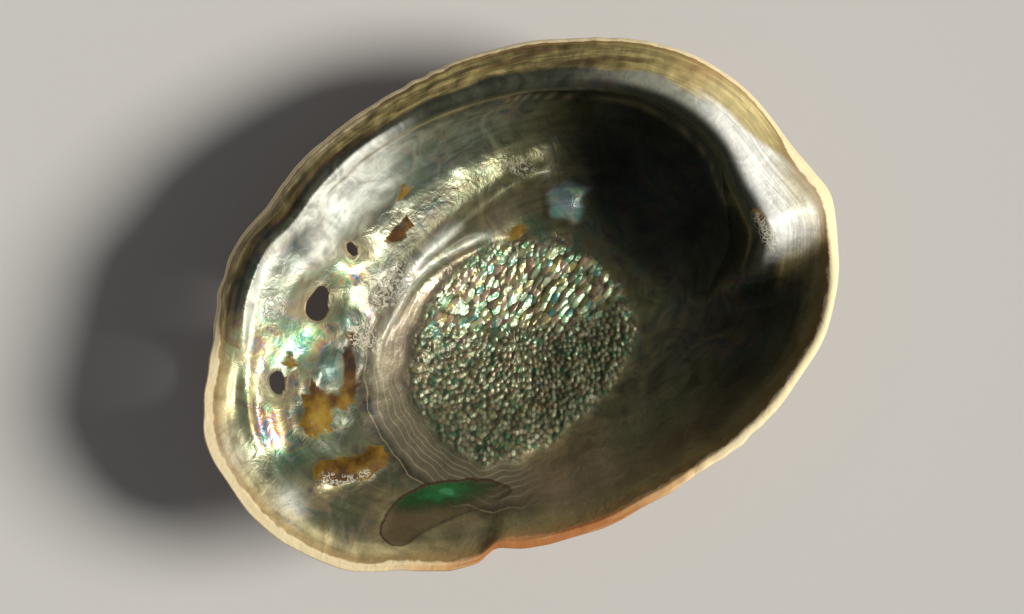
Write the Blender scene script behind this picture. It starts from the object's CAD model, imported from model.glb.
import math

import bmesh
import bpy
import numpy as np
from mathutils import Matrix, Vector


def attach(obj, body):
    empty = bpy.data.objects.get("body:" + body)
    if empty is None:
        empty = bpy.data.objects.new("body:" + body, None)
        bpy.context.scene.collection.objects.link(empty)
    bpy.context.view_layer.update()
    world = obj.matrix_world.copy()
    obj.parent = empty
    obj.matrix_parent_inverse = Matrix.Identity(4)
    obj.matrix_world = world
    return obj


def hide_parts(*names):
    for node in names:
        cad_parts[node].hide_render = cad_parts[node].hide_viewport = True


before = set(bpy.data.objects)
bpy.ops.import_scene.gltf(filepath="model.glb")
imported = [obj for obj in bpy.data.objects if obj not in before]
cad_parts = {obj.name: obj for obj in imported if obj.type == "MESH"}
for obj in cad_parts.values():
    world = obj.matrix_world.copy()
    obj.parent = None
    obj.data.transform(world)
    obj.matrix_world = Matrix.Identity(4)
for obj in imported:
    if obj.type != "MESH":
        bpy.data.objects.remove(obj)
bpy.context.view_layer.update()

# ---------------------------------------------------------------------------
# The camera hangs straight over the shell and looks down into its mouth. It is
# rolled so that the spire end lies to the right and up.
CAMERA_PLACE = (0.0004, -0.0016, 0.895)
CAMERA_ROLL = 28

camera_data = bpy.data.cameras.new("camera")
camera_data.lens = 100
camera_data.sensor_width = 36
camera = bpy.data.objects.new("camera", camera_data)
camera.location = CAMERA_PLACE
camera.rotation_euler = (0, 0, math.radians(-CAMERA_ROLL))
bpy.context.scene.collection.objects.link(camera)
bpy.context.scene.camera = camera

# ---------------------------------------------------------------------------
# The table top is one plain pale sheet, matt, wide enough to fill every view.
floor_mesh = bpy.data.meshes.new("floor")
floor_mesh.from_pydata([(-4, -4, 0), (4, -4, 0), (4, 4, 0), (-4, 4, 0)], [], [(0, 1, 2, 3)])
floor = bpy.data.objects.new("floor", floor_mesh)
bpy.context.scene.collection.objects.link(floor)

pale_paint = bpy.data.materials.new("pale_paint")
pale_paint.use_nodes = True
pale_look = pale_paint.node_tree.nodes["Principled BSDF"]
pale_look.inputs["Base Color"].default_value = (0.62, 0.61, 0.59, 1)
pale_look.inputs["Roughness"].default_value = 0.9
pale_look.inputs["Specular IOR Level"].default_value = 0
floor_mesh.materials.append(pale_paint)

# ---------------------------------------------------------------------------
# The light is one soft sun on the spire side, low enough to bring out the relief
# and the nacre. A dim surround leaves the hollow under the shelf dark.
KEY_AZIMUTH, KEY_ELEVATION = -30, 38
KEY_SOFTNESS = 21  # degrees across
KEY_ENERGY, SURROUND_STRENGTH = 4.1, 0.12

key_data = bpy.data.lights.new("key", "SUN")
key_data.angle = math.radians(KEY_SOFTNESS)
key_data.energy = KEY_ENERGY
key_data.color = (1, 0.965, 0.9)
key = bpy.data.objects.new("key", key_data)
toward_key = Vector((
    math.cos(math.radians(KEY_AZIMUTH)) * math.cos(math.radians(KEY_ELEVATION)),
    math.sin(math.radians(KEY_AZIMUTH)) * math.cos(math.radians(KEY_ELEVATION)),
    math.sin(math.radians(KEY_ELEVATION)),
))
key.location = toward_key
key.rotation_euler = toward_key.to_track_quat("Z", "Y").to_euler()
bpy.context.scene.collection.objects.link(key)

surround = bpy.data.worlds.new("surround")
surround.use_nodes = True
sky = surround.node_tree.nodes["Background"]
sky.inputs["Color"].default_value = (0.94, 0.97, 1, 1)
sky.inputs["Strength"].default_value = SURROUND_STRENGTH
bpy.context.scene.world = surround
bpy.context.scene.view_settings.view_transform = "Standard"

# ---------------------------------------------------------------------------
# The shell itself is one closed skin of nacre and crust, in millimetres until
# it is a mesh. The animal laid it down outwards from the spire, thick under the
# crown and thin at the outer lip, with a rolled shelf along its inner lip.
LENGTH = 200
DEPTH = 54
FLOOR_WALL = 6
WORN_DEPTH = 0.7  # how much the crown has lost where the shell lies on it
AROUND = 384
BACK_RINGS, SHELF_RINGS, WALL_RINGS, BOWL_RINGS, SCAR_RINGS = 84, 30, 18, 34, 90
SCAR_REACH = 42  # this near to the scar's middle the rings lie close, to carry the beads

# The rim as seen into the mouth, anticlockwise from the spire end.
OUTLINE = [
    (96, 2), (94, 17), (88, 32), (78, 45), (65, 55), (52, 62), (39, 67), (20, 71), (0, 72), (-20, 70),
    (-38, 65), (-50, 59), (-62, 54.5), (-75, 43), (-84, 30), (-94, 16), (-99, 3), (-98, -14), (-91, -33),
    (-80, -47), (-65, -55), (-52, -62), (-44, -64), (-38, -62.8), (-30, -66), (-12, -71), (8, -72),
    (28, -71), (48, -67.5), (69, -58), (83, -48), (93, -33), (99.2, -17), (98.2, -8),
]
CROWN = np.array((18.0, 6.0))
SCAR = np.array((-4.0, -13.0))
SPIRE = np.array((64.0, 10.0))

# Values that change round the shell: pairs of an angle in degrees and a value there.
RIM_HEIGHT = [
    (0, 47.5), (25, 46), (60, 41.5), (110, 40.5), (150, 44.5), (185, 49), (225, 52.5), (270, DEPTH),
    (315, 53), (342, 49.5),
]
LIP_DROP = [(0, 0.5), (120, 0.5), (160, 2.2), (215, 2.2), (260, 1.1), (330, 0.6)]
STEEPNESS = [
    (5, 0.5), (40, 0.55), (75, 0.9), (105, 1.5), (125, 2.1), (150, 2), (185, 1.35), (230, 1.12),
    (290, 1.05), (320, 0.85), (345, 0.6),
]
WALL = [(0, 4.6), (60, 4.6), (120, 4.4), (150, 3.6), (190, 2.6), (330, 2.6)]
ROUNDNESS = [(0, 2.3), (90, 2.2), (180, 2), (270, 2.2)]
SHELF_WIDTH = [
    (-15, 33), (0, 27), (6, 22.8), (14, 20.5), (30, 18.5), (50, 17), (70, 14.5), (90, 13), (110, 12),
    (130, 11.5), (200, 10),
]
UNDERCUT = [
    (-22, -10), (-4, -6), (10, 2), (24, 9), (42, 10), (58, 4), (74, -6), (95, -14), (130, -17), (200, -14),
]
SHELF_START, SHELF_FINISH = (-19, -1), (140, 158)
SHELF_RISE = [(-15, 1.5), (22, 1.5), (50, 1.1), (70, 1), (150, 0.9), (250, 1)]
SHELF_SECTION = [(0, 0), (0.07, 1.3), (0.25, 2.9), (0.5, 4.6), (0.7, 5.6), (0.82, 5.4), (1, 2.4)]
HOLE_ROW = [(-85, -13), (-73, 11), (-52.5, 25.5), (-34.5, 36.5), (-11, 43), (20, 44), (45, 36), (60, 22)]
CHANNEL_DEPTH, CHANNEL_REACH, CHANNEL_RIDGE = 3.4, 8, 2.4


def smooth(x, low, high):
    t = np.clip((x - low) / (high - low), 0, 1)
    return t * t * (3 - 2 * t)


def mix(a, b, t):
    return a + (b - a) * t


def around(table, angle):
    """A value from a table of (degrees, value) pairs, evened out so that no seam shows."""
    every = np.arange(720) / 2
    line = np.interp(every, [a % 360 for a, _ in table], [v for _, v in table], period=360)
    even = np.mean([np.roll(line, shift) for shift in range(-30, 31, 4)], axis=0)
    return np.interp(np.asarray(angle) % 360, every, even, period=360)


def through(points, count, closed):
    """A smooth curve through points given by hand, as count points along it."""
    p = np.array(points, float)
    p = np.vstack([p[-1:], p, p[:2]]) if closed else np.vstack([2 * p[0] - p[1], p, 2 * p[-1] - p[-2]])
    knots = np.concatenate([[0], np.cumsum(np.linalg.norm(np.diff(p, axis=0), axis=1) ** 0.5)])
    out = []
    for t in np.linspace(knots[1], knots[-2], count, endpoint=not closed):
        i = min(int(np.searchsorted(knots, t, side="right")) - 1, len(p) - 3)
        t0, t1, t2, t3 = knots[i - 1 : i + 3]
        a1 = (t1 - t) / (t1 - t0) * p[i - 1] + (t - t0) / (t1 - t0) * p[i]
        a2 = (t2 - t) / (t2 - t1) * p[i] + (t - t1) / (t2 - t1) * p[i + 1]
        a3 = (t3 - t) / (t3 - t2) * p[i + 1] + (t - t2) / (t3 - t2) * p[i + 2]
        b1 = (t2 - t) / (t2 - t0) * a1 + (t - t0) / (t2 - t0) * a2
        b2 = (t3 - t) / (t3 - t1) * a2 + (t - t1) / (t3 - t1) * a3
        out.append((t2 - t) / (t2 - t1) * b1 + (t - t1) / (t2 - t1) * b2)
    return np.array(out)


def gap_to(points, x, y, count=120):
    """How far each place is from a smooth line through points, and how far along it that is."""
    line = through(points, count, closed=False)
    best = np.full(np.shape(x), 1e9)
    along = np.zeros(np.shape(x))
    for i, (px, py) in enumerate(line):
        d = np.hypot(x - px, y - py)
        along = np.where(d < best, i / (count - 1), along)
        best = np.minimum(best, d)
    return best, along


outline = through(OUTLINE, 1440, closed=True)
outline *= LENGTH / np.ptp(outline[:, 0])
rim_angle = np.degrees(np.arctan2(outline[:, 1] - CROWN[1], outline[:, 0] - CROWN[0])) % 360
rim_reach = np.hypot(outline[:, 0] - CROWN[0], outline[:, 1] - CROWN[1])
rim_order = np.argsort(rim_angle)
rim_angle, rim_reach = rim_angle[rim_order], rim_reach[rim_order]


def reach_at(angle):
    return np.interp(np.asarray(angle) % 360, rim_angle, rim_reach, period=360)


smooth_angles = np.arange(0, 360, 5)
smooth_reach = np.mean([reach_at(smooth_angles + d) for d in range(-25, 30, 5)], axis=0)


def crown_polar(x, y):
    angle = np.degrees(np.arctan2(y - CROWN[1], x - CROWN[0]))
    out = np.hypot(x - CROWN[0], y - CROWN[1])
    reach = reach_at(angle)
    soft = np.interp(angle % 360, smooth_angles, smooth_reach, period=360)
    return angle, out, mix(soft, reach, smooth(out / reach, 0.8, 1))


def climb(share, angle):
    return 1 - (1 - share ** around(ROUNDNESS, angle)) ** around(STEEPNESS, angle)


def shelf_share(angle):
    turned = (angle + 90) % 360 - 90
    return smooth(turned, *SHELF_START) * (1 - smooth(turned, *SHELF_FINISH))


def near_hole_row(x, y):
    return np.exp(-((gap_to(HOLE_ROW, x, y)[0] / CHANNEL_REACH) ** 2))


def back_height(x, y):
    angle, out, reach = crown_polar(x, y)
    share = np.minimum(out / reach, 1)
    bulge = 5 * np.exp(-((x - SPIRE[0]) ** 2 + (y - SPIRE[1]) ** 2) / 19**2)
    ridge = CHANNEL_RIDGE * near_hole_row(x, y) * (1 - share**6)
    rim_height = around(RIM_HEIGHT, angle) - around(LIP_DROP, angle)
    height = rim_height * climb(share, angle) - (bulge + ridge) * (1 - share**8)
    return np.maximum(height - WORN_DEPTH, 0) + WORN_DEPTH * smooth(share, 0.3, 1)


def bowl_height(x, y):
    angle, out, reach = crown_polar(x, y)
    share = np.minimum(out / (reach - around(WALL, angle)), 1)
    height = FLOOR_WALL + (around(RIM_HEIGHT, angle) - FLOOR_WALL) * climb(share, angle)
    return height - CHANNEL_DEPTH * near_hole_row(x, y) * (1 - share**6)


turn = np.arange(AROUND) / AROUND * 2 * np.pi
edge_reach = reach_at(np.degrees(turn))
step = np.arange(1, BACK_RINGS + 1)[:, None] / BACK_RINGS
share = np.sin(np.pi / 2 * step**1.1) ** 1.05
back_x = CROWN[0] + share * edge_reach * np.cos(turn)
back_y = CROWN[1] + share * edge_reach * np.sin(turn)
back_z = back_height(back_x, back_y)

edge_x, edge_y, edge_z = back_x[-1], back_y[-1], back_z[-1]
to_scar = np.hypot(SCAR[0] - edge_x, SCAR[1] - edge_y)
step_x, step_y = (SCAR[0] - edge_x) / to_scar, (SCAR[1] - edge_y) / to_scar
scar_angle = np.degrees(np.arctan2(-step_y, -step_x))
shelf = shelf_share(scar_angle)
width = np.minimum(around(SHELF_WIDTH, scar_angle), to_scar - SCAR_REACH - 10)
undercut = mix(-8, around(UNDERCUT, scar_angle), shelf)


def bowl_at(inward):
    return bowl_height(edge_x + step_x * inward, edge_y + step_y * inward)


section = through(SHELF_SECTION, 400, closed=False)
parts = np.linspace(0, 1, SHELF_RINGS + 1)[1:]
over = np.interp(parts, section[:, 0], section[:, 1])
rise = around(SHELF_RISE, scar_angle)
tip = edge_z + SHELF_SECTION[-1][1] * rise
foot_in = width - undercut
foot = bowl_at(foot_in)
tucked = smooth(undercut, -5, 8)
bend_in = width - mix(0.42, 0.9, tucked) * undercut
bend_z = mix(mix(tip, foot, 0.42), tip - 1.5, tucked)

inward_rows, height_rows = [], []
for part, lift in zip(parts, over):
    inward_rows.append(part * width)
    height_rows.append(mix(bowl_at(part * width), edge_z + lift * rise, shelf))
for t in np.arange(1, WALL_RINGS + 1) / WALL_RINGS:
    d = (1 - t) ** 2 * width + 2 * t * (1 - t) * bend_in + t**2 * foot_in
    z = (1 - t) ** 2 * tip + 2 * t * (1 - t) * bend_z + t**2 * foot
    inward_rows.append(d)
    height_rows.append(mix(bowl_at(d), z, shelf))
for t in np.arange(1, BOWL_RINGS) / BOWL_RINGS:
    d = mix(foot_in, to_scar - SCAR_REACH, t)
    inward_rows.append(d)
    height_rows.append(bowl_at(d))
for t in np.arange(SCAR_RINGS) / SCAR_RINGS:
    d = to_scar - SCAR_REACH * (1 - t)
    inward_rows.append(d)
    height_rows.append(bowl_at(d))
inward = np.array(inward_rows)
inner_x = edge_x + step_x * inward
inner_y = edge_y + step_y * inward
inner_z = np.array(height_rows)

back = np.stack([back_x, back_y, back_z], axis=-1)
skin = np.concatenate([back, np.stack([inner_x, inner_y, inner_z], axis=-1)])
rings = len(skin)
inside = np.repeat(np.arange(rings) >= BACK_RINGS, AROUND).reshape(rings, AROUND)
x, y = skin[..., 0], skin[..., 1]
back_steps = np.linalg.norm(np.diff(back, axis=0, append=back[-1:]), axis=-1)
from_rim = np.vstack([-np.cumsum(back_steps[::-1], axis=0)[::-1], inward])  # below 0 on the back
back_share = np.vstack([np.broadcast_to(share, back_x.shape), np.ones_like(inward)])
on_shelf = np.vstack([np.zeros_like(back_x), shelf * (1 - smooth(inward, width, width + 2))])

# ---------------------------------------------------------------------------
# The growth lines: every old lip is the present one, smaller and turned back
# about the spire. Growth is how far back in its life the animal laid a place.
COIL_TIGHTNESS = 0.6
MOST_GROWTH, GROWTH_STEP = 9, 0.04

spire_angle = np.arctan2(outline[:, 1] - SPIRE[1], outline[:, 0] - SPIRE[0])
spire_reach = np.hypot(outline[:, 0] - SPIRE[0], outline[:, 1] - SPIRE[1])
spire_order = np.argsort(spire_angle)
spire_angle, spire_reach = spire_angle[spire_order], spire_reach[spire_order]
place_angle = np.arctan2(y - SPIRE[1], x - SPIRE[0])
place_reach = np.maximum(np.hypot(x - SPIRE[0], y - SPIRE[1]), 0.5)
growth = np.zeros_like(x)
ahead = None
for u in np.arange(0, MOST_GROWTH, GROWTH_STEP):
    old_lip = np.interp(place_angle + u, spire_angle, spire_reach, period=2 * np.pi)
    over_by = np.log(place_reach) + COIL_TIGHTNESS * u - np.log(old_lip)
    if ahead is None:
        found = over_by >= 0
    else:
        crossed = ~found & (over_by >= 0)
        past = GROWTH_STEP * over_by / np.maximum(over_by - ahead, 1e-9)
        growth = np.where(crossed, u - past, growth)
        found |= crossed
    ahead = over_by

# ---------------------------------------------------------------------------
# The relief: what stands proud of the plain bowl or is sunk in it, such as the
# muscle scar's pad and its terraces, the cups of the holes, knobs and folds.
# Each open hole's middle, its width and length, and its clockwise turn in degrees.
HOLES = [((-34.4, 36.8), (3.8, 5.4), 0), ((-52.0, 26.2), (7.4, 8.4), 25), ((-72.8, 11.4), (4.8, 7.2), 15)]
CLOSED_HOLES = [(-13, 44.5), (6, 46), (24, 43.5), (39, 38), (50, 30)]
SCAR_OUTLINE = [
    (12.5, 15.5), (22.5, 8.5), (30.5, -3), (33, -18), (25.5, -32), (11, -39.5),
    (-8.5, -43.5), (-28.5, -41.5), (-38.5, -27.5), (-39.5, -8), (-26.5, 8), (-7.5, 17.5),
]
GREEN_PATCH = [
    (-66, -44), (-62, -39), (-55, -36.5), (-46, -37.5), (-37, -41.5), (-29, -46.5),
    (-26, -50.5), (-29, -51.5), (-43, -49.5), (-56, -48.5), (-62, -48.5),
]
TERRACES = (1.2, 2.7, 4.1, 5.8, 7.6, 9.8, 12.4)


def region(points):
    """The distance in millimetres from a closed smooth outline, less than nothing inside it."""
    line = through(points, 90, closed=True)
    best = np.full(x.shape, 1e9)
    within = np.zeros(x.shape, bool)
    for (ax, ay), (bx, by) in zip(line, np.roll(line, -1, axis=0)):
        sx, sy = bx - ax, by - ay
        along = np.clip(((x - ax) * sx + (y - ay) * sy) / (sx**2 + sy**2), 0, 1)
        best = np.minimum(best, np.hypot(x - ax - along * sx, y - ay - along * sy))
        within ^= ((ay > y) != (by > y)) & (x < sx * (y - ay) / (sy + 1e-12) + ax)
    return np.where(within, -best, best)


def mound(centre, radii, turned=0):
    """A soft bump that is 1 at its middle."""
    c, s = math.cos(math.radians(turned)), math.sin(math.radians(turned))
    dx, dy = x - centre[0], y - centre[1]
    return np.exp(-(((dx * c + dy * s) / radii[0]) ** 2) - ((dy * c - dx * s) / radii[1]) ** 2)


def crest(points, reach):
    """A line that is 1 along its middle and tapers to nothing at both ends."""
    gap, along = gap_to(points, x, y)
    return np.exp(-((gap / reach) ** 2)) * smooth(along, 0, 0.2) * (1 - smooth(along, 0.8, 1))


def waver(size, seed, a=None, b=None):
    """A slow uneven rise and fall between -1 and 1, about size millimetres from crest to crest."""
    a, b = (x, y) if a is None else (a, b)
    rng = np.random.default_rng(seed)
    total = np.zeros_like(a)
    for _ in range(9):
        turned, pace = rng.uniform(0, 2 * np.pi), 2 * np.pi / (size * rng.uniform(0.7, 1.5))
        total += np.sin(pace * (a * math.cos(turned) + b * math.sin(turned)) + rng.uniform(0, 6.28))
    return total / 4


scar_gap = region(SCAR_OUTLINE) + 0.7 * waver(9, 4)
patch_gap = region(GREEN_PATCH) + 0.4 * waver(6, 9)
scar_side = np.degrees(np.arctan2(y - SCAR[1], x - SCAR[0])) % 360
terraced = smooth(scar_side, 116, 136) * (1 - smooth(scar_side, 232, 262))
side_angle = (np.broadcast_to(scar_angle, x.shape) + 90) % 360 - 90
along_rim = np.radians(side_angle) * 80
left_folds = mound((-84, 14), (11, 30), 18) * (1 - on_shelf)
inner_relief = (
    1.6 * (1 - smooth(scar_gap, -2.5, 2.5))
    + terraced * sum(0.24 * (1 - smooth(scar_gap, e - 0.4, e + 0.4)) for e in TERRACES)
    + 1.2 * crest([(-47, -6), (-45, 2), (-41, 8), (-30, 16), (-20, 20.5), (-5, 22.5), (9, 20)], 1.7)
    + 1.9 * crest([(-38, 8), (-30, 17), (-22, 23), (-10, 27), (0, 29.5), (18, 32), (28, 31), (36, 24)], 2.4)
    + 2.8 * mound((30, 19), (6, 5.5))
    + 1.8 * mound((33, -21), (8, 6), -15)
    + 1.7 * mound((-57.5, 7.5), (5, 4.6), 30)
    + 1.3 * mound((-46, 18.5), (3.6, 4.6), 30)
    + 1.2 * mound((-39, 31.5), (4, 3.6))
    - 1.0 * mound((-77, -9.5), (6.5, 5.5), 40)
    - 1.3 * crest([(-66, -14), (-58, -8), (-53, 0), (-50, 6)], 3.2)
    + 1.3 * crest([(-80, -22), (-72, -19), (-66, -22), (-60, -23), (-53, -21)], 2.6)
    + 1.1 * crest([(-74, -6), (-66, 0), (-62, 8), (-60, 14)], 2.8)
    + 0.9 * crest([(-62, 28), (-52, 36), (-40, 43), (-26, 48)], 3)
    - 0.5 * (1 - smooth(patch_gap, -1.2, 0.4))
    + 0.6 * left_folds * waver(4.6, 12, from_rim, along_rim / 7)
    + 0.2
    + 0.4 * waver(17, 1)
    + 0.2 * waver(8, 2) * mound((-60, 15), (30, 26), 25)
    + 0.25 * waver(16, 41) * mound((-10, 42), (40, 12), 5)
    + 0.14 * waver(4, 3) * mound((-58, 8), (22, 26), 25)
)
outer_relief = 1.1 * waver(26, 5) + 0.5 * waver(11, 6)
for centre, size, turned in HOLES:
    reach = 0.5 * (size[0] + size[1])
    inner_relief += 0.5 * mound(centre, (reach * 1.25, reach * 1.25))
    inner_relief -= 2 * mound(centre, (reach * 0.8, reach * 0.8))
    outer_relief += 2.2 * mound(centre, (reach * 1.2, reach * 1.2))
for centre in CLOSED_HOLES:
    inner_relief -= 0.5 * mound(centre, (3, 3))
    outer_relief += 1.8 * mound(centre, (4.2, 4.2)) - 1.7 * mound(centre, (2, 2))
bright_end = smooth(side_angle, -11, -5) * (1 - smooth(side_angle, 19, 30))
shelf_folds = on_shelf * smooth(side_angle, 12, 32) * smooth(from_rim, 1, 4)
shelf_folds *= 1 - smooth(from_rim / around(SHELF_WIDTH, side_angle), 0.5, 0.75)
inner_relief = inner_relief * smooth(from_rim, 3, 12) * (1 - 0.8 * on_shelf)
inner_relief += shelf_folds * (0.3 * waver(3.4, 21, from_rim, along_rim / 9) + 0.25 * waver(5, 22))
outer_relief *= smooth(back_share, 0.18, 0.3) * (1 - smooth(back_share, 0.93, 1))

across = np.roll(skin, -1, axis=1) - np.roll(skin, 1, axis=1)
inwards = np.gradient(skin, axis=0)
normal = np.cross(across, inwards)
normal /= np.maximum(np.linalg.norm(normal, axis=-1, keepdims=True), 1e-9)
skin = skin + normal * np.where(inside, inner_relief, outer_relief)[..., None]

# The rim is chipped and wavy, and never stands out past its own line.
rim_turn = np.arctan2(y - CROWN[1], x - CROWN[0])
around_rim = (rim_turn * 90, 0 * x)
broken = smooth(waver(50, 34, *around_rim), -0.2, 0.6)
chips = 0.3 + 0.4 * waver(26, 31, *around_rim) + 0.32 * broken * waver(9, 32, *around_rim)
chips = np.clip(chips, 0, 2)
near_rim = np.exp(-((from_rim / 4) ** 2)) * chips
skin[..., 0] -= near_rim * np.cos(rim_turn)
skin[..., 1] -= near_rim * np.sin(rim_turn)
skin[..., 2] -= 0.5 * near_rim * waver(7, 33, *around_rim)

middle = [[CROWN[0], CROWN[1], 0], skin[-1].mean(0)]
verts = np.vstack([middle[:1], skin.reshape(-1, 3), middle[1:]])
ring, spoke = np.meshgrid(np.arange(rings - 1), np.arange(AROUND), indexing="ij")


def point(r, k):
    return 1 + r * AROUND + k % AROUND


k = np.arange(AROUND)
last = np.full_like(k, len(verts) - 1)
quads = point(ring, spoke), point(ring, spoke + 1), point(ring + 1, spoke + 1), point(ring + 1, spoke)
faces = np.stack(quads, axis=-1).reshape(-1, 4).tolist()
faces += np.stack([np.zeros_like(k), point(0, k + 1), point(0, k)], axis=-1).tolist()
faces += np.stack([point(rings - 1, k), point(rings - 1, k + 1), last], axis=-1).tolist()

verts[:, :2] -= (verts[:, :2].max(0) + verts[:, :2].min(0)) / 2
verts[:, 2] -= verts[:, 2].min()
shell_mesh = bpy.data.meshes.new("shell_of_nacre")
shell_mesh.from_pydata((verts / 1000).tolist(), [], faces)
shell_mesh.polygons.foreach_set("use_smooth", [True] * len(shell_mesh.polygons))
shell_mesh.update()
shell = bpy.data.objects.new("shell_of_nacre", shell_mesh)
bpy.context.scene.collection.objects.link(shell)

# ---------------------------------------------------------------------------
# The colours that the animal laid down, place by place. Nacre shines and the
# rest is dull: the horny rim of the shelf, the stains and the outer crust.
SILVER, WHITE, PEARL = (0.58, 0.58, 0.46), (0.86, 0.87, 0.78), (0.93, 0.93, 0.87)
PEWTER, SLATE, ASH = (0.075, 0.08, 0.055), (0.17, 0.19, 0.16), (0.12, 0.125, 0.095)
LEAD, MIST, BRONZE = (0.06, 0.058, 0.036), (0.13, 0.165, 0.14), (0.175, 0.17, 0.082)
OLIVE, TAN, BROWN = (0.19, 0.165, 0.055), (0.44, 0.35, 0.14), (0.10, 0.055, 0.02)
GOLD, HONEY, STRAW = (0.30, 0.24, 0.10), (0.70, 0.58, 0.27), (0.70, 0.60, 0.34)
BUFF, SAND, IVORY = (0.66, 0.56, 0.34), (0.58, 0.54, 0.33), (0.88, 0.84, 0.68)
UMBER, ROSE, ORANGE = (0.22, 0.155, 0.075), (0.46, 0.33, 0.25), (0.60, 0.20, 0.07)
MOSS, LICHEN = (0.13, 0.15, 0.065), (0.22, 0.25, 0.13)
FERN, SAGE = (0.34, 0.37, 0.20), (0.36, 0.38, 0.23)
TEAL, SEA, SKY = (0.10, 0.19, 0.16), (0.04, 0.085, 0.055), (0.46, 0.58, 0.66)
PEAT, LOAM, BARK = (0.035, 0.032, 0.018), (0.035, 0.03, 0.016), (0.11, 0.088, 0.04)
PITCH, SOOT, COAL = (0.02, 0.021, 0.013), (0.026, 0.021, 0.011), (0.018, 0.017, 0.01)
CLAY, EARTH, SOIL = (0.055, 0.048, 0.026), (0.075, 0.062, 0.028), (0.07, 0.06, 0.022)
GILT = (0.30, 0.24, 0.12)

tint = np.empty(x.shape + (3,))
tint[:] = BRONZE
pearl = np.ones_like(x)


def lay(colour, amount, shine=None):
    """Lays a colour over what is there, and with it how much the place shines."""
    global tint, pearl
    tint = mix(tint, np.array(colour), np.clip(amount, 0, 1)[..., None])
    if shine is not None:
        pearl = mix(pearl, shine, np.clip(amount, 0, 1))


# The floor of the bowl: gilt at the rim, umber and moss on the near side, black under the shelf.
lay(GOLD, 0.7 * (1 - smooth(from_rim, 3, 11)) * (1 - on_shelf))
lay(UMBER, mound((0, -58), (90, 17)) + mound((-62, -42), (26, 12), -35), 0.55)
lay(ROSE, 0.3 * mound((-20, -58), (50, 8)))
mossy = mound((-58, -44), (16, 9), -30) + mound((-30, -58), (16, 3), -8) + mound((25, -52), (24, 6), 12)
lay(MOSS, 0.7 * mossy)
lay(PITCH, 1.3 * mound((58, 12), (27, 36), 10), 0.5)
lay(PEWTER, 0.75 * mound((40, -38), (30, 8), 25))
lay(PEWTER, 0.7 * mound((-56, -6), (8, 13), -25))
lay(CLAY, 0.9 * terraced * smooth(scar_gap, 0, 3) * (1 - smooth(scar_gap, 11, 17)), 0.5)
lay(SOOT, 0.75 * mound((54, -49), (28, 9), 28), 0.6)

# The wall below the shelf is white where it is steepest, and the row of holes lies in silver.
ledge_width = around(SHELF_WIDTH, side_angle) + 1.5 * smooth(side_angle, 98, 118)
part_in = from_rim / ledge_width
wall_drop = from_rim - ledge_width
lit_wall = smooth(side_angle, 82, 104) * (1 - smooth(side_angle, 124, 140))
lay(SILVER, 0.85 * mound((-30, 46), (40, 11), 20))
lay(WHITE, smooth(part_in, 0.98, 1) * (1 - smooth(wall_drop, 7, 15)) * lit_wall, 0.35)
lay(WHITE, 0.4 * mound((-94, 0), (7, 14)) + 1.2 * mound((-87, -24), (7, 5), 60), 0.5)
lay(SILVER, 0.5 * mound((-68, 14), (22, 26), 35))
lay(SLATE, 0.9 * (mound((-50, 43), (14, 4), 38) + mound((-64, 32), (9, 5), 48)), 0.7)
lay(ASH, 0.8 * crest([(-52, 0), (-46, 10), (-36, 21), (-22, 30), (-6, 35), (10, 37)], 4.5), 0.8)
lay(ROSE, 0.7 * (mound((-35, 0), (6, 12), -25) + mound((-18, 16), (12, 4), 20)))
lay(EARTH, 1.2 * mound((10, 26.5), (26, 6)), 0.2)
lay(COAL, mound((76, -28), (22, 27), -20), 0.5)
lay(LEAD, 0.85 * mound((-52, -14), (7, 16), -20), 0.5)
lay(MIST, 0.75 * mound((5, 49), (26, 8), 8))
lay(SOIL, 0.9 * mound((-57, 2), (23, 9), 67), 0.5)
lay(PEAT, 0.8 * mound((-50, -9), (5, 13), 20), 0.5)
lay(LOAM, 0.75 * mound((-46, -32), (15, 6), -30), 0.6)
lay(BARK, 0.7 * mound((-72, -34), (11, 7), -35))

# The cups, knobs and folds, and the stained mouths of the holes.
cups = mound((-57.5, 7.5), (5, 4.6), 30) + mound((-46, 18.5), (3.6, 4.6), 30)
lay(TEAL, 0.8 * (cups + mound((-82, 18), (4, 7), 15)))
lay(SEA, 1.1 * mound((-79, -10.5), (6.5, 5.5), 40), 0.8)
knob = smooth(mound((31, 19.5), (7, 7.5)) + 0.2 * waver(7, 42), 0.35, 0.85)
lay(SKY, 0.85 * knob, 0.8)
lay(SILVER, 0.9 * crest([(-46, 0), (-41, 8), (-30, 16), (-20, 20.5), (-5, 22.5), (9, 20)], 1.1))
lay(WHITE, 0.8 * crest([(-38, 8), (-32, 15), (-22, 23), (-10, 27), (0, 29.5)], 1.6))
for centre, size, turned in HOLES:
    reach = 0.5 * (size[0] + size[1])
    lay(TAN, 0.4 * mound(centre, (reach * 1.1, reach * 1.1)), 0.6)
    lay(BROWN, 0.9 * mound(centre, (reach * 0.75, reach * 0.75)), 0.2)
folds = 0.5 + 0.5 * waver(4.2, 13, from_rim, along_rim / 8)
lay(LICHEN, 0.85 * left_folds)
lay(FERN, 0.8 * mound((-73, 25), (8, 12), 30), 0.7)
lay(SAGE, 0.9 * left_folds * smooth(folds, 0.5, 0.8))
lay(TAN, 0.8 * left_folds * (1 - smooth(folds, 0.1, 0.4)), 0.5)

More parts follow.
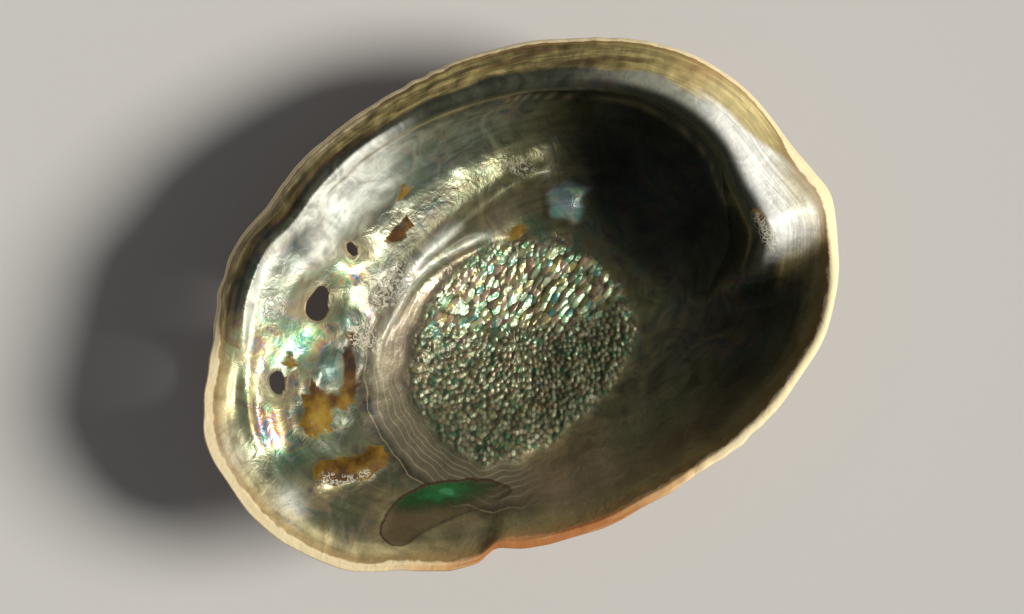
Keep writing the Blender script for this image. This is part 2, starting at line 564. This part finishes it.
# The shelf is horn on its outer part and dark or white nacre on its inner part.
top_left = smooth(side_angle, 84, 98)
streaks = 0.5 + 0.5 * waver(2.6, 14, from_rim, along_rim / 14)
horn_reach = mix(0.6, 0.38, smooth(side_angle, 99, 108)) + 0.06 * waver(14, 15, along_rim, 0 * x)
horn = on_shelf * (1 - smooth(part_in, horn_reach - 0.05, horn_reach + 0.05))
brown_streaks = smooth(waver(3.1, 16, from_rim, along_rim / 10), 0.25, 0.8)
horn_edge = (part_in - horn_reach - 0.03) * around(SHELF_WIDTH, side_angle) / 0.8
silver_end = smooth(side_angle, 8, 20) * (1 - smooth(side_angle, 34, 52))
bright_from = mix(0.1, 0.42, smooth(side_angle, 4, 18))
bright_end *= smooth(part_in, bright_from, bright_from + 0.1) * (1 - smooth(part_in, 0.72, 0.84))
lay(PEWTER, on_shelf, 0.9)
lay(SILVER, on_shelf * smooth(part_in, 0.5, 0.6) * (1 - smooth(part_in, 0.75, 0.88)) * silver_end)
lay(mix(np.array(OLIVE), np.array(TAN), 0.3), horn, 0.12)
lay(TAN, horn * mix(0.8 * streaks, 1, 0.5 * top_left))
lay(BUFF, horn * top_left * (1 - smooth(part_in, 0.16, 0.3)))
lay(BROWN, horn * brown_streaks * mix(0.8, 0.35, top_left))
lay(ORANGE, horn * 0.6 * mound((87, 31), (9, 6), -45))
lay(HONEY, 1.2 * horn * mound((86, 20), (17, 11), -50))
lay(BROWN, on_shelf * np.exp(-(horn_edge**2)) * top_left * 0.9, 0.2)
lay(WHITE, on_shelf * top_left * smooth(part_in, 0.72, 0.8) * 0.95, 0.35)
lay(PEARL, bright_end, 0.4)
lay(SAND, bright_end * 0.7 * mound((91, -10), (4, 11), -10))
lay(GILT, on_shelf * 0.8 * np.exp(-((wall_drop / 0.4) ** 2)), 0.5)

# The outer lip is straw and ivory at the front, and redder along the near side.
left_side = smooth(side_angle, 146, 160) * (1 - smooth(side_angle, 206, 226))
lay(STRAW, left_side * mix(0.45, 0.95, folds) * (1 - smooth(from_rim, 6, 13)), 0.4)
lay(IVORY, 0.9 * mound((-95, 1), (4, 9)), 0.4)
redder = mound((-20, -68), (45, 25))
thin_lip = 1 - on_shelf * smooth(side_angle, 2, 14)
lip_gap = from_rim / np.where(inside, mix(0.35, 1, thin_lip), 1)
lay(TAN, inside * np.exp(-(((from_rim - 6) / 3) ** 2)) * thin_lip * 0.4)
pearl *= inside

deposit = (
    1.1 * mound((-66.5, -2), (6, 8), -20)
    + 1.1 * crest([(-77, -15), (-72, -19), (-66, -22), (-60, -23.5), (-51, -21)], 4.2)
    + 0.7 * crest([(-60, -8), (-53, 2), (-50, 10), (-44, 16)], 3.4)
    + 0.9 * mound((-19, 35), (6, 3), 20)
    + 0.75 * mound((-12, 45), (4.5, 3), 15)
    + 0.7 * mound((13, 18), (6, 3), 10)
    + 0.7 * mound((-66, 16), (3, 5), 10)
    + 0.8 * mound((77, -12), (2.5, 6), 5)
)
chalk = (
    mound((-30, 21), (9, 4.5), 25)
    + 0.9 * mound((-44, 11), (5, 7), 20)
    + 0.7 * mound((-62, 32), (6, 4), 40)
    + 0.5 * crest([(-58, -26), (-68, -24), (-77, -18)], 2.4)
    + 0.7 * mound((77, -16), (3, 11), 5)
    + 0.3 * mound((30, 38), (6, 4))
    + 0.3 * mound((22, 36), (8, 4), -40)
    + 0.3 * mound((-76, -30), (9, 4), -50)
)
iris = (
    mound((-39, 31.5), (5, 4.5))
    + mound((-59, 18.5), (5, 4))
    + 0.8 * mound((-80, 0), (5, 7))
    + 1.2 * knob * (1 - mound((31, 19.5), (4, 4.5)))
    + 0.8 * mound((30, -13), (5, 4), -30)
    + 0.6 * mound((62, -27), (6, 3), 20)
    + 0.35 * mound((-60, 10), (30, 26), 25)
    + 0.5 * mound((5, 5), (34, 14), 10)
    + 0.4 * mound((-76, 28), (10, 14), 20)
)
FAR = 30  # added to the rim's gap, so that a place with no value reads as far down the back
scalars = {
    "growth": growth,
    "pearl": pearl,
    "inside": inside * 1.0,
    "scar_gap": np.clip(scar_gap, -30, 30),
    "terraced": terraced,
    "patch_gap": np.clip(patch_gap, -20, 20),
    "patch_rim": 1 - mound((-38, -53), (20, 5), -6),
    "green_part": mound((-45, -41), (17, 4), -22),
    "lip_gap": np.clip(lip_gap, -20, 20) + FAR,
    "redder": redder,
    "deposit": deposit,
    "chalk": chalk,
    "iris": iris,
    "glitter": mound((3, 3), (34, 16), -12) + 0.5 * mound((24, -8), (10, 12)),
    "horn": horn,
    "calm": mound((0, -60), (90, 16)) + on_shelf * (1 - smooth(side_angle, 30, 60)),
}
flow = np.stack([along_rim, from_rim, 0 * x], axis=-1) / 1000
for name, values in scalars.items():
    layer = shell_mesh.attributes.new(name, "FLOAT", "POINT")
    ends = [values[0].mean()], values.ravel(), [values[-1].mean()]
    layer.data.foreach_set("value", np.concatenate(ends).astype(np.float32))
for name, values in {"tint": tint, "flow": flow}.items():
    layer = shell_mesh.attributes.new(name, "FLOAT_VECTOR", "POINT")
    ends = values[:1, 0], values.reshape(-1, 3), values[-1:, 0]
    layer.data.foreach_set("vector", np.concatenate(ends).astype(np.float32).ravel())

# ---------------------------------------------------------------------------
# Three breathing holes are still open and go right through the wall. Each is
# oval and a little wider at the back.
TIPS = (0, 0.7, 0.25)  # how far each is drawn out to a point, as a share of its radius
TIP_SIDE = math.radians(42)
BACK_SHARE, MOUTH_SHARE = 0.56, 0.46  # the radius at each end, as a share of the hole's size

pins = bmesh.new()
for ((hx, hy), (wide, long), turned), tip in zip(HOLES, TIPS):
    place = Matrix.Translation((hx / 1000, hy / 1000, 0.03))
    place = place @ Matrix.Rotation(math.radians(-turned), 4, "Z")
    place = place @ Matrix.Diagonal((wide / 1000, long / 1000, 1, 1))
    pin = bmesh.ops.create_cone(
        pins, cap_ends=True, segments=32, radius1=BACK_SHARE, radius2=MOUTH_SHARE, depth=0.08, matrix=place,
    )
    for v in pin["verts"]:
        out = v.co - Vector((hx / 1000, hy / 1000, v.co.z))
        v.co += out * tip * max(math.cos(math.atan2(out.y, out.x) - TIP_SIDE), 0) ** 8
pins_mesh = bpy.data.meshes.new("pins")
pins.to_mesh(pins_mesh)
pins_object = bpy.data.objects.new("pins", pins_mesh)
bpy.context.scene.collection.objects.link(pins_object)
cut = shell.modifiers.new("holes", "BOOLEAN")
cut.operation = "DIFFERENCE"
cut.solver = "EXACT"
cut.object = pins_object

# ---------------------------------------------------------------------------
# Growth ridges cross the back, one for each pause in growth, and beads cover
# the scar where the foot muscle was fixed. Both follow the surface they are on.


def add(tree, kind, inputs=None, **settings):
    node = tree.nodes.new(kind)
    for name, value in settings.items():
        setattr(node, name, value)
    for name, value in (inputs or {}).items():
        if isinstance(value, bpy.types.NodeSocket):
            tree.links.new(value, node.inputs[name])
        else:
            node.inputs[name].default_value = value
    return node.outputs


def maths(tree, operation, *values):
    return add(tree, "ShaderNodeMath", dict(enumerate(values)), operation=operation)[0]


def vector(tree, operation, *values):
    outputs = add(tree, "ShaderNodeVectorMath", dict(enumerate(values)), operation=operation)
    return outputs["Value" if operation == "DOT_PRODUCT" else "Vector"]


def stretch(tree, value, low, high, to_low=0.0, to_high=1.0):
    """A value eased from one range to another."""
    return add(
        tree, "ShaderNodeMapRange",
        {"Value": value, "From Min": low, "From Max": high, "To Min": to_low, "To Max": to_high},
        interpolation_type="SMOOTHSTEP",
    )[0]


def clouds(tree, place, scale, detail=4.0, warp=0.0):
    return add(
        tree, "ShaderNodeTexNoise",
        {"Vector": place, "Scale": scale, "Detail": detail, "Distortion": warp},
    )


def grains(tree, place, turned, long, per_metre):
    """Uneven grains seen from above, long times as long as wide in the turned direction."""
    lined = add(
        tree, "ShaderNodeVectorRotate", {"Vector": place, "Angle": math.radians(-turned)},
        rotation_type="Z_AXIS",
    )[0]
    lined = vector(tree, "MULTIPLY", lined, (1 / long, 1, 0))
    bent = clouds(tree, vector(tree, "MULTIPLY", place, (1, 1, 0)), 140.0, 2.0)[1]
    lined = vector(tree, "MULTIPLY_ADD", bent, (0.0018, 0.0018, 0), lined)
    cell = add(
        tree, "ShaderNodeTexVoronoi", {"Vector": lined, "Scale": per_metre, "Randomness": 0.9},
        feature="F1", voronoi_dimensions="2D",
    )
    off_middle = vector(tree, "SUBTRACT", lined, cell["Position"])
    lean = vector(tree, "SUBTRACT", cell["Color"], (0.5, 0.5, 0.5))
    return cell, vector(tree, "DOT_PRODUCT", off_middle, lean)


# The way each kind of grain runs, and how long it is for its width.
BEADS, PLATES = (62, 1.25), (27, 1.9)

relief = bpy.data.node_groups.new("growth_ridges_and_scar_beads", "GeometryNodeTree")
relief.interface.new_socket("Shell", in_out="INPUT", socket_type="NodeSocketGeometry")
relief_sizes = {
    "Ridge Height": 0.0009,
    "Ridges per Growth": 13.0,
    "Bead Height": 0.0005,
    "Beads per Metre": 800.0,
    "Plates per Metre": 640.0,
    "Crust Height": 0.0005,
}
for name, value in relief_sizes.items():
    socket = relief.interface.new_socket(name, in_out="INPUT", socket_type="NodeSocketFloat")
    socket.default_value = value
relief.interface.new_socket("Finish", in_out="INPUT", socket_type="NodeSocketMaterial")
relief.interface.new_socket("Shell", in_out="OUTPUT", socket_type="NodeSocketGeometry")
given = add(relief, "NodeGroupInput")
place = add(relief, "GeometryNodeInputPosition")[0]
read = {
    name: add(relief, "GeometryNodeInputNamedAttribute", {"Name": name}, data_type="FLOAT")[0]
    for name in ("growth", "inside", "lip_gap", "scar_gap", "glitter", "deposit", "chalk")
}
uneven = clouds(relief, place, 45.0)[0]
fine = clouds(relief, place, 260.0, 3.0)[0]
off_rim = stretch(relief, read["lip_gap"], FAR - 1.0, FAR - 7.0)
wander = maths(relief, "MULTIPLY", uneven, 1.6)
pulse = maths(relief, "MULTIPLY_ADD", read["growth"], given["Ridges per Growth"], wander)
tooth = maths(relief, "FRACT", pulse)
ridge = maths(relief, "MULTIPLY", maths(relief, "POWER", tooth, 1.6), stretch(relief, tooth, 1.0, 0.8))
ridge = maths(relief, "MULTIPLY", ridge, stretch(relief, uneven, 0.3, 0.7, 0.4, 1.6))
rough = maths(relief, "MULTIPLY_ADD", maths(relief, "SUBTRACT", fine, 0.5), 0.9, ridge)
rough = maths(relief, "MULTIPLY", maths(relief, "MULTIPLY", rough, off_rim), given["Ridge Height"])
rough = maths(relief, "MULTIPLY", rough, maths(relief, "SUBTRACT", 1.0, read["inside"]))

bead, bead_tip = grains(relief, place, *BEADS, given["Beads per Metre"])
plate, plate_tip = grains(relief, place, *PLATES, given["Plates per Metre"])
bead_dome = maths(relief, "MULTIPLY", stretch(relief, bead["Distance"], 0.65, 0.1), given["Bead Height"])
bead_lift = maths(relief, "MULTIPLY_ADD", bead_tip, 0.3, bead_dome)
plate_height = maths(relief, "MULTIPLY", given["Bead Height"], 0.7)
plate_dome = maths(relief, "MULTIPLY", stretch(relief, plate["Distance"], 0.75, 0.2), plate_height)
plate_lift = maths(relief, "MULTIPLY_ADD", plate_tip, 0.6, plate_dome)
ragged = maths(relief, "MULTIPLY_ADD", maths(relief, "SUBTRACT", fine, 0.5), 5.0, read["scar_gap"])
in_scar = maths(relief, "MULTIPLY", stretch(relief, ragged, 1.0, -1.0), read["inside"])
use_plates = stretch(relief, maths(relief, "ADD", read["glitter"], fine), 0.75, 1.25)
beaded = add(
    relief, "ShaderNodeMix", {0: use_plates, 2: bead_lift, 3: plate_lift}, data_type="FLOAT",
)[0]
beaded = maths(relief, "MULTIPLY", beaded, in_scar)
crusted = maths(relief, "ADD", read["deposit"], read["chalk"])
crusted = stretch(relief, maths(relief, "ADD", crusted, fine), 0.95, 1.5)
crusted = maths(relief, "MULTIPLY", crusted, given["Crust Height"])
crusted = maths(relief, "MULTIPLY", crusted, read["inside"])

total = maths(relief, "ADD", rough, maths(relief, "ADD", beaded, crusted))
outwards = add(relief, "GeometryNodeInputNormal")[0]
lift = add(relief, "ShaderNodeVectorMath", {0: outwards, "Scale": total}, operation="SCALE")[0]
moved = add(relief, "GeometryNodeSetPosition", {"Geometry": given["Shell"], "Offset": lift})[0]
real = add(relief, "GeometryNodeRealizeInstances", {"Geometry": moved})[0]
finished = add(relief, "GeometryNodeSetMaterial", {"Geometry": real, "Material": given["Finish"]})[0]
add(relief, "NodeGroupOutput", {"Shell": finished})

nacre = bpy.data.materials.new("nacre_and_crust")
texture = shell.modifiers.new("relief", "NODES")
texture.node_group = relief
for item in relief.interface.items_tree:
    if item.name == "Finish" and item.in_out == "INPUT":
        texture[item.identifier] = nacre
graph = bpy.context.evaluated_depsgraph_get()
finished_mesh = bpy.data.meshes.new_from_object(
    shell.evaluated_get(graph), preserve_all_data_layers=True, depsgraph=graph,
)
shell.modifiers.clear()
bpy.data.objects.remove(pins_object)
shell.data = finished_mesh

# The holes' own walls are bare shell, dull nacre in the upper half and crust in the lower.
corners = np.empty(len(finished_mesh.vertices) * 3, np.float32)
finished_mesh.vertices.foreach_get("co", corners)
corners = corners.reshape(-1, 3) * 1000
bare = {
    "pearl": (0.1, 0),
    "inside": (1, 0),
    "lip_gap": (FAR + 20, FAR - 20),
    "patch_gap": (20, 20),
    "scar_gap": (30, 30),
}
HOLE_WALL = (0.26, 0.21, 0.12)
old = {name: np.empty(len(corners), np.float32) for name in bare}
for name in bare:
    finished_mesh.attributes[name].data.foreach_get("value", old[name])
walls = np.zeros(len(corners), bool)
top = np.zeros(len(corners), bool)
for (hx, hy), size, turned in HOLES:
    near = (np.hypot(corners[:, 0] - hx, corners[:, 1] - hy) < max(size)) & (old["lip_gap"] == 0)
    walls |= near
    top |= near & (corners[:, 2] > np.mean(corners[near, 2]))
for name, (above, below) in bare.items():
    old[name][walls] = np.where(top[walls], above, below)
    finished_mesh.attributes[name].data.foreach_set("value", old[name])
tints = np.empty(len(corners) * 3, np.float32)
finished_mesh.attributes["tint"].data.foreach_get("vector", tints)
tints.reshape(-1, 3)[walls] = HOLE_WALL
finished_mesh.attributes["tint"].data.foreach_set("vector", tints)

# It lies on its crown, so the lowest bump of the crust is brought to the table top.
finished_mesh.transform(Matrix.Translation((0, 0, -float(corners[:, 2].min()) / 1000)))

# ---------------------------------------------------------------------------
# Nacre is thin clear plates over each other, so it is silvery with drifting
# green, rose and blue. The crust is matt brick red with paler growth bands.
nacre.use_nodes = True
paint = nacre.node_tree
shine = paint.nodes["Principled BSDF"]
place = add(paint, "ShaderNodeTexCoord")["Object"]
layer = {
    name: add(paint, "ShaderNodeAttribute", attribute_name=name)
    for name in [*scalars, "tint", "flow"]
}
read = {name: layer[name]["Fac"] for name in scalars}
pearl_now = read["pearl"]


def blend(amount, first, second, mode="MIX"):
    node = paint.nodes.new("ShaderNodeMix")
    node.data_type = "RGBA"
    node.blend_type = mode
    for socket, value in ((node.inputs[0], amount), (node.inputs[6], first), (node.inputs[7], second)):
        if isinstance(value, bpy.types.NodeSocket):
            paint.links.new(value, socket)
        else:
            socket.default_value = value if isinstance(value, float) else (*value, 1)
    return node.outputs[2]


def ramp(value, stops):
    node = paint.nodes.new("ShaderNodeValToRGB")
    paint.links.new(value, node.inputs[0])
    elements = node.color_ramp.elements
    while len(elements) < len(stops):
        elements.new(0.5)
    for element, (position, colour) in zip(elements, stops):
        element.position = position
        element.color = (*colour, 1)
    return node.outputs[0]


def dull(amount, to=0.1):
    """Takes the shine off where a dull thing covers the nacre."""
    global pearl_now
    pearl_now = add(paint, "ShaderNodeMix", {0: amount, 2: pearl_now, 3: to}, data_type="FLOAT")[0]


def times(first, second):
    return maths(paint, "MULTIPLY", first, second)


def plus(first, second):
    return maths(paint, "ADD", first, second)


def frayed(value, by, reach):
    """A value made uneven by as much as reach, so that no edge drawn from it is clean."""
    return plus(value, times(plus(by, -0.5), reach))


drift = clouds(paint, place, 26.0, 5.0, 1.4)[0]
swirl = clouds(paint, place, 95.0, 6.0, 2.0)[0]
fine = clouds(paint, vector(paint, "MULTIPLY", place, (1, 1, 0)), 260.0, 3.0)[0]
speckle = clouds(paint, place, 900.0, 4.0)[0]
lines = clouds(paint, vector(paint, "MULTIPLY", layer["flow"]["Vector"], (30, 420, 1)), 1.0, 5.0, 0.5)[0]
mottle = plus(stretch(paint, swirl, 0.3, 0.7, -0.34, 0.28), stretch(paint, lines, 0.3, 0.7, -0.18, 0.18))
mottle = plus(times(mottle, stretch(paint, read["calm"], 0.2, 1.0, 1.0, 0.35)), 1.0)
inner = vector(paint, "SCALE", layer["tint"]["Vector"])
paint.links.new(mottle, inner.node.inputs["Scale"])

# The play of colour, in patches over the nacre.
IRIS = [
    (0, (0.75, 0.78, 0.62)),
    (0.2, (0.30, 0.62, 0.36)),
    (0.38, (0.12, 0.42, 0.42)),
    (0.52, (0.50, 0.58, 0.78)),
    (0.68, (0.85, 0.46, 0.46)),
    (0.84, (0.80, 0.68, 0.35)),
    (1, (0.75, 0.78, 0.62)),
]
hue = plus(times(drift, 5.0), plus(times(swirl, 2.2), times(read["growth"], 1.2)))
hue = maths(paint, "FRACT", hue)
patchy = stretch(paint, clouds(paint, place, 60.0, 3.0)[0], 0.4, 0.66)
lively = stretch(paint, read["calm"], 0.2, 1.0, 1.0, 0.15)
strength = plus(times(times(patchy, 0.5), lively), times(read["iris"], 0.9))
strength = times(strength, pearl_now)
strong = stretch(paint, read["iris"], 0.1, 0.9, 0.35, 1.0)
rainbow = vector(paint, "SCALE", ramp(hue, IRIS))
paint.links.new(strong, rainbow.node.inputs["Scale"])
inner = blend(maths(paint, "MINIMUM", strength, 0.9), inner, blend(0.55, rainbow, inner, "OVERLAY"))

# Brown lines on the terraces beside the scar, and the patch by the near rim.
TERRACE_LINE, TERRACE_SHADE, PATCH_EDGE = (0.30, 0.24, 0.13), (0.30, 0.26, 0.17), (0.05, 0.022, 0.01)
step_gap = frayed(read["scar_gap"], fine, 0.8)
for edge in TERRACES:
    near = stretch(paint, maths(paint, "ABSOLUTE", plus(step_gap, -edge)), 0.26, 0.06)
    inner = blend(times(times(near, read["terraced"]), 0.75), inner, TERRACE_LINE)
step_shade = times(stretch(paint, step_gap, 12.0, 10.0), read["terraced"])
inner = blend(times(step_shade, 0.35), inner, TERRACE_SHADE)

PATCH = [
    (0.1, (0.12, 0.085, 0.042)),
    (0.4, (0.05, 0.06, 0.024)),
    (0.7, (0.025, 0.075, 0.02)),
    (0.95, (0.03, 0.17, 0.05)),
    (1, (0.06, 0.26, 0.10)),
]
patch_gap = frayed(read["patch_gap"], fine, 1.2)
in_patch = times(stretch(paint, patch_gap, 0.2, -0.6), read["patch_rim"])
inner = blend(in_patch, inner, ramp(frayed(read["green_part"], swirl, 0.6), PATCH))
patch_edge = times(stretch(paint, maths(paint, "ABSOLUTE", patch_gap), 0.5, 0.15), read["patch_rim"])
inner = blend(times(patch_edge, 0.85), inner, PATCH_EDGE)

# The scar's grains: grey beads, with brighter plates among them near its middle.
in_scar = times(stretch(paint, frayed(read["scar_gap"], fine, 5.0), 1.0, -1.0), read["inside"])
use_plates = stretch(paint, plus(read["glitter"], fine), 0.75, 1.25)
bead, bead_tip = grains(paint, place, *BEADS, relief_sizes["Beads per Metre"])
plate, plate_tip = grains(paint, place, *PLATES, relief_sizes["Plates per Metre"])
GREY_BEADS = [
    (0, (0.10, 0.12, 0.06)),
    (0.2, (0.19, 0.20, 0.115)),
    (0.36, (0.05, 0.17, 0.09)),
    (0.5, (0.25, 0.23, 0.11)),
    (0.7, (0.20, 0.14, 0.085)),
    (0.85, (0.38, 0.39, 0.26)),
    (1, (0.10, 0.12, 0.06)),
]
BRIGHT_PLATES = [
    (0, (0.50, 0.56, 0.34)),
    (0.2, (0.22, 0.50, 0.28)),
    (0.35, (0.72, 0.76, 0.54)),
    (0.5, (0.60, 0.38, 0.27)),
    (0.65, (0.24, 0.24, 0.13)),
    (0.8, (0.56, 0.48, 0.18)),
    (0.92, (0.10, 0.34, 0.30)),
    (1, (0.50, 0.56, 0.34)),
]
GROOVE = (0.045, 0.048, 0.026)


def grain_colour(cell, stops, gap_from, gap_to):
    part = add(paint, "ShaderNodeSeparateXYZ", {"Vector": cell["Color"]})
    colour = ramp(maths(paint, "FRACT", plus(part[1], times(drift, 0.6))), stops)
    colour = vector(paint, "SCALE", colour)
    paint.links.new(stretch(paint, part[2], 0.0, 1.0, 0.5, 1.5), colour.node.inputs["Scale"])
    return blend(stretch(paint, cell["Distance"], gap_from, gap_to, 0.0, 0.75), colour, GROOVE)


bead_colour = grain_colour(bead, GREY_BEADS, 0.28, 0.66)
plate_colour = grain_colour(plate, BRIGHT_PLATES, 0.4, 0.8)
grain = blend(use_plates, bead_colour, plate_colour)
inner = blend(times(in_scar, 0.92), inner, grain)
dull(times(in_scar, stretch(paint, use_plates, 0.0, 1.0, 0.5, 0.15)), 0.3)

# Dark streaks in the horn, then brown stains and veins of chalk over everything.
DARK_HORN, CHALK, AMBER = (0.06, 0.04, 0.018), (0.56, 0.52, 0.40), (0.33, 0.19, 0.06)
strands = vector(paint, "MULTIPLY", layer["flow"]["Vector"], (60, 900, 1))
pale_strand = stretch(paint, clouds(paint, strands, 1.0, 6.0, 1.0)[0], 0.42, 0.62)
horny = blend(pale_strand, DARK_HORN, inner)
streaky = stretch(paint, read["calm"], 0.2, 1.0, 0.6, 0.3)
inner = blend(times(read["horn"], streaky), inner, horny)

STAIN = [
    (0.36, (0.012, 0.006, 0.002)),
    (0.48, (0.07, 0.028, 0.003)),
    (0.6, (0.21, 0.12, 0.01)),
    (0.75, (0.30, 0.23, 0.03)),
]
stained = stretch(paint, frayed(read["deposit"], swirl, 1.3), 0.44, 0.62)
stain_depth = plus(times(clouds(paint, place, 58.0, 4.0)[0], 0.75), times(fine, 0.3))
inner = blend(stained, inner, ramp(stain_depth, STAIN))
dull(times(stained, read["inside"]), 0.08)
vein_noise = clouds(paint, place, 420.0, 5.0, 1.2)[0]
veins = stretch(paint, maths(paint, "ABSOLUTE", plus(vein_noise, -0.5)), 0.07, 0.03)
chalky = times(stretch(paint, frayed(read["chalk"], drift, 0.9), 0.3, 0.5), veins)
inner = blend(times(chalky, 0.85), inner, CHALK)
dull(times(chalky, read["inside"]), 0.0)

# The rim: an amber edge to the nacre, then a pale lip a few millimetres wide.
lip_at = frayed(plus(read["lip_gap"], -FAR), fine, 2.6)
lip_amber = times(stretch(paint, lip_at, 7.0, 4.6), read["inside"])
inner = blend(times(lip_amber, 0.55), inner, AMBER)
lip_line = stretch(paint, lip_at, 3.9, 3.1)
LIP = [
    (0.2, (0.48, 0.19, 0.06)),
    (0.45, (0.74, 0.47, 0.22)),
    (0.7, (0.94, 0.80, 0.50)),
    (1, (0.76, 0.56, 0.28)),
]
paleness = stretch(paint, read["redder"], 0.0, 1.0, 0.45, -0.05)
lip_colour = ramp(plus(paleness, times(lines, 0.5)), LIP)
inner = blend(lip_line, inner, lip_colour)
dull(times(lip_amber, read["inside"]), 0.15)

# The crust of the back: red bands, with grey, green and white growths and worn ridges.
BRICK_BANDS = [
    (0, (0.30, 0.085, 0.05)),
    (0.35, (0.22, 0.06, 0.04)),
    (0.5, (0.36, 0.20, 0.13)),
    (0.7, (0.26, 0.075, 0.05)),
    (1, (0.30, 0.085, 0.05)),
]
CRUST_GREY, CRUST_GREEN, CRUST_WHITE = (0.36, 0.28, 0.20), (0.13, 0.15, 0.08), (0.55, 0.48, 0.40)
WORN_RIDGE = (0.42, 0.25, 0.17)
bands = maths(paint, "FRACT", plus(times(read["growth"], 7.0), times(drift, 1.5)))
greyed = stretch(paint, clouds(paint, place, 38.0, 6.0, 0.6)[0], 0.48, 0.7, 0.0, 0.65)
greened = stretch(paint, clouds(paint, place, 70.0, 6.0, 0.4)[0], 0.56, 0.66, 0.0, 0.7)
whitened = stretch(paint, clouds(paint, place, 420.0, 5.0)[0], 0.35, 0.7, 0.0, 0.35)
ridges = plus(times(read["growth"], relief_sizes["Ridges per Growth"]), times(fine, 0.5))
worn = stretch(paint, maths(paint, "FRACT", ridges), 0.62, 0.95, 0.0, 0.4)
crust = ramp(bands, BRICK_BANDS)
crust = blend(greyed, crust, CRUST_GREY)
crust = blend(greened, crust, CRUST_GREEN)
crust = blend(whitened, crust, CRUST_WHITE)
crust = blend(worn, crust, WORN_RIDGE)
crust = blend(stretch(paint, lip_at, -2.6, -1.2), crust, lip_colour)
paint.links.new(blend(read["inside"], crust, inner), shine.inputs["Base Color"])

roughness = frayed(stretch(paint, pearl_now, 0.0, 1.0, 0.72, 0.31), swirl, 0.25)
paint.links.new(times(pearl_now, 0.62), shine.inputs["Metallic"])
paint.links.new(roughness, shine.inputs["Roughness"])
paint.links.new(times(pearl_now, 0.2), shine.inputs["Coat Weight"])
shine.inputs["Coat Roughness"].default_value = 0.12
shine.inputs["Specular IOR Level"].default_value = 0.25

facets = times(blend(use_plates, times(bead_tip, 0.6), plate_tip), times(in_scar, 0.8))
lined = times(stretch(paint, read["calm"], 0.2, 1.0, 1.0, 0.0), 0.00005)
surface = plus(times(clouds(paint, place, 330.0, 6.0, 0.8)[0], 0.0003), times(speckle, 0.00006))
surface = plus(surface, plus(times(lines, lined), times(chalky, 0.0003)))
bump = add(paint, "ShaderNodeBump", {"Height": plus(surface, facets), "Strength": 0.8, "Distance": 1.0})
paint.links.new(bump[0], shine.inputs["Normal"])

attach(shell, "root")
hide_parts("shell")
